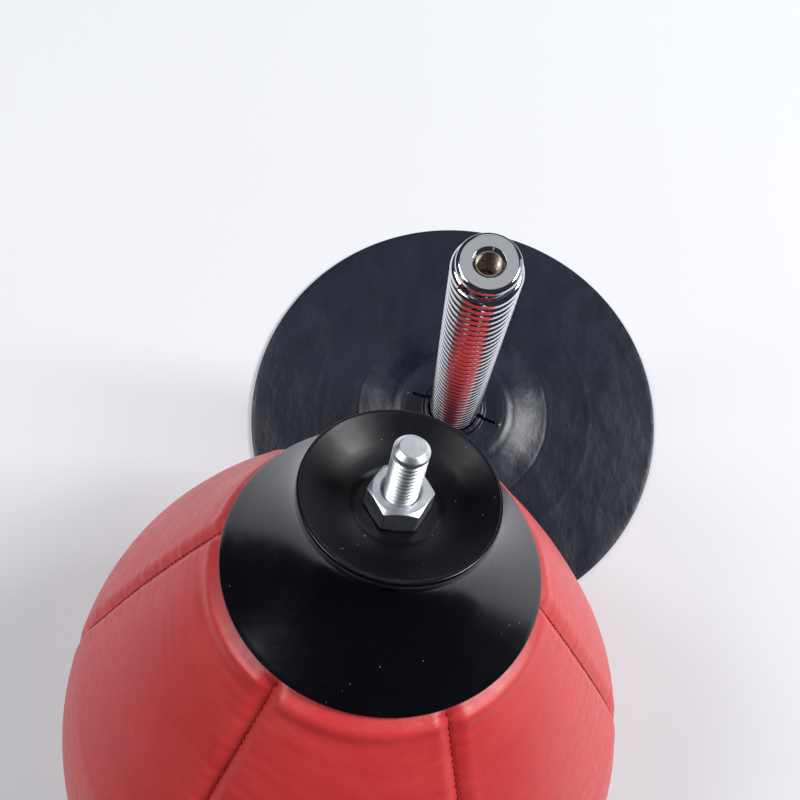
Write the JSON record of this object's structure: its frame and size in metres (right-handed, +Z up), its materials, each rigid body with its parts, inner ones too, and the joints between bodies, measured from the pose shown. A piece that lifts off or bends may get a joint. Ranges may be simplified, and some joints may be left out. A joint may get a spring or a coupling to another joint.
{
  "type": "desktop punching ball",
  "caption": "Desktop punching ball in two units: a suction cup base with an upright coil spring, and a stitched ball on a plastic cone whose threaded stud screws into the spring.",
  "frame": {"origin": "on the table, on the axis of the base's suction cup and spring", "axes": "+Z up along the spring; the ball unit lies beside the base towards -Y and slightly -X, its stud leaning towards the spring"},
  "size_m": [0.2163, 0.2924, 0.2087],
  "materials": {
    "cup_rubber": "satin black rubber",
    "black_plastic": "gloss black moulded plastic",
    "zinc_steel": "bright zinc plating",
    "chrome": "bright chrome plating",
    "red_leather": "coral red polyurethane leather, finely wrinkled",
    "bladder_rubber": "matte rubber",
    "felt": "pressed felt"
  },
  "bodies": {
    "base": {"suction_cup": "cup_rubber", "base_washer": "zinc_steel", "base_bolt": "zinc_steel"},
    "spring_foot": {"lower_spring_plug": "chrome", "spring_foot_coil": "chrome"},
    "spring_1": {"spring_coil_1": "chrome"},
    "spring_2": {"spring_coil_2": "chrome"},
    "spring_3": {"spring_coil_3": "chrome"},
    "spring_4": {"spring_coil_4": "chrome"},
    "spring_5": {"spring_coil_5": "chrome"},
    "spring_6": {"spring_coil_6": "chrome"},
    "spring_7": {"spring_coil_7": "chrome"},
    "spring_top": {"spring_top_coil": "chrome", "upper_spring_plug": "chrome"},
    "ball": {"cover_panel_1": "red_leather", "cover_panel_2": "red_leather", "cover_panel_3": "red_leather", "cover_panel_4": "red_leather", "cover_panel_5": "red_leather", "cover_panel_6": "red_leather", "cone_shell": "black_plastic", "hex_nut": "zinc_steel", "ball_stud": "zinc_steel", "retaining_plate": "zinc_steel", "head_pad": "felt", "bladder": "bladder_rubber", "valve_body": "bladder_rubber", "valve_plug": "bladder_rubber"}
  },
  "joints": [
    {"name": "spring_swivel", "type": "hinge", "parent": "base", "child": "spring_foot", "pos_m": [0, 0, 0.0084], "axis": [0, 0, 1], "range_deg": [-120, 120]},
    {"name": "spring_bend_1", "type": "hinge", "parent": "spring_foot", "child": "spring_1", "pos_m": [0.00356, 0.00999, 0.02354], "axis": [-0.9421, 0.3355, 0], "range_deg": [0, 7.5], "stiffness_Nm_per_rad": 9.4, "springref_deg": -1.15},
    {"name": "spring_bend_2", "type": "hinge", "parent": "spring_1", "child": "spring_2", "pos_m": [0.00356, 0.00999, 0.04082], "axis": [-0.9421, 0.3355, 0], "range_deg": [0, 7.5], "stiffness_Nm_per_rad": 9.4, "springref_deg": -1.15},
    {"name": "spring_bend_3", "type": "hinge", "parent": "spring_2", "child": "spring_3", "pos_m": [0.00356, 0.00999, 0.0581], "axis": [-0.9421, 0.3355, 0], "range_deg": [0, 7.5], "stiffness_Nm_per_rad": 9.4, "springref_deg": -1.15},
    {"name": "spring_bend_4", "type": "hinge", "parent": "spring_3", "child": "spring_4", "pos_m": [0.00356, 0.00999, 0.07538], "axis": [-0.9421, 0.3355, 0], "range_deg": [0, 7.5], "stiffness_Nm_per_rad": 9.4, "springref_deg": -1.15},
    {"name": "spring_bend_5", "type": "hinge", "parent": "spring_4", "child": "spring_5", "pos_m": [0.00356, 0.00999, 0.09266], "axis": [-0.9421, 0.3355, 0], "range_deg": [0, 7.5], "stiffness_Nm_per_rad": 9.4, "springref_deg": -1.15},
    {"name": "spring_bend_6", "type": "hinge", "parent": "spring_5", "child": "spring_6", "pos_m": [0.00356, 0.00999, 0.10994], "axis": [-0.9421, 0.3355, 0], "range_deg": [0, 7.5], "stiffness_Nm_per_rad": 9.4, "springref_deg": -1.15},
    {"name": "spring_bend_7", "type": "hinge", "parent": "spring_6", "child": "spring_7", "pos_m": [0.00356, 0.00999, 0.12722], "axis": [-0.9421, 0.3355, 0], "range_deg": [0, 7.5], "stiffness_Nm_per_rad": 9.4, "springref_deg": -1.15},
    {"name": "spring_bend_8", "type": "hinge", "parent": "spring_7", "child": "spring_top", "pos_m": [0.00356, 0.00999, 0.1445], "axis": [-0.9421, 0.3355, 0], "range_deg": [0, 7.5], "stiffness_Nm_per_rad": 9.4, "springref_deg": -1.15},
    {"name": "ball_carry", "type": "hinge", "parent": "base", "child": "ball", "pos_m": [-0.0127, -0.03567, 0.17739], "axis": [0.9421, -0.3355, 0], "range_deg": [-154.1, 0]}
  ],
  "couplings": [
    {"joint": "spring_bend_2", "follows": "spring_bend_1", "ratio": 1},
    {"joint": "spring_bend_3", "follows": "spring_bend_1", "ratio": 1},
    {"joint": "spring_bend_4", "follows": "spring_bend_1", "ratio": 1},
    {"joint": "spring_bend_5", "follows": "spring_bend_1", "ratio": 1},
    {"joint": "spring_bend_6", "follows": "spring_bend_1", "ratio": 1},
    {"joint": "spring_bend_7", "follows": "spring_bend_1", "ratio": 1},
    {"joint": "spring_bend_8", "follows": "spring_bend_1", "ratio": 1}
  ]
}
